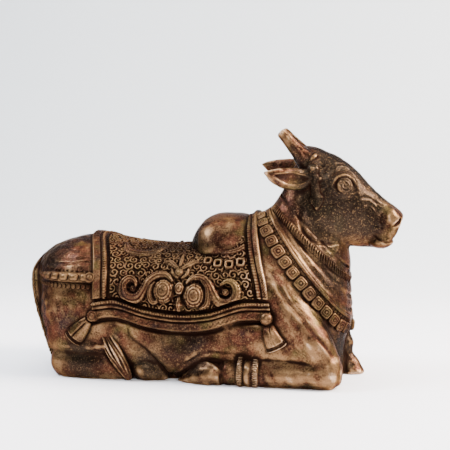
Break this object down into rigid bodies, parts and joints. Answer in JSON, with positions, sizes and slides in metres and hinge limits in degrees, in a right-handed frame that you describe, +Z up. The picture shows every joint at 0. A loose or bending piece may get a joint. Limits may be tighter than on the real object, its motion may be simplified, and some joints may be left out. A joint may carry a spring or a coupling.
{
  "type": "nandi statue",
  "caption": "Small cast brass figure of a reclining bull with a saddle cloth, bead necklaces and bells, which stands on its flat underside.",
  "frame": {"origin": "on the flat underside, on the middle plane of the body, below the front of the saddle cloth", "axes": "+X is the way the bull looks, +Y is its left side, +Z is up"},
  "size_m": [0.1496, 0.0605, 0.097],
  "materials": {
    "antique_brass": "cast brass with a dark brown antique patina in the hollows and rubbed golden high spots"
  },
  "bodies": {
    "root": {"nandi": "antique_brass"}
  },
  "joints": []
}
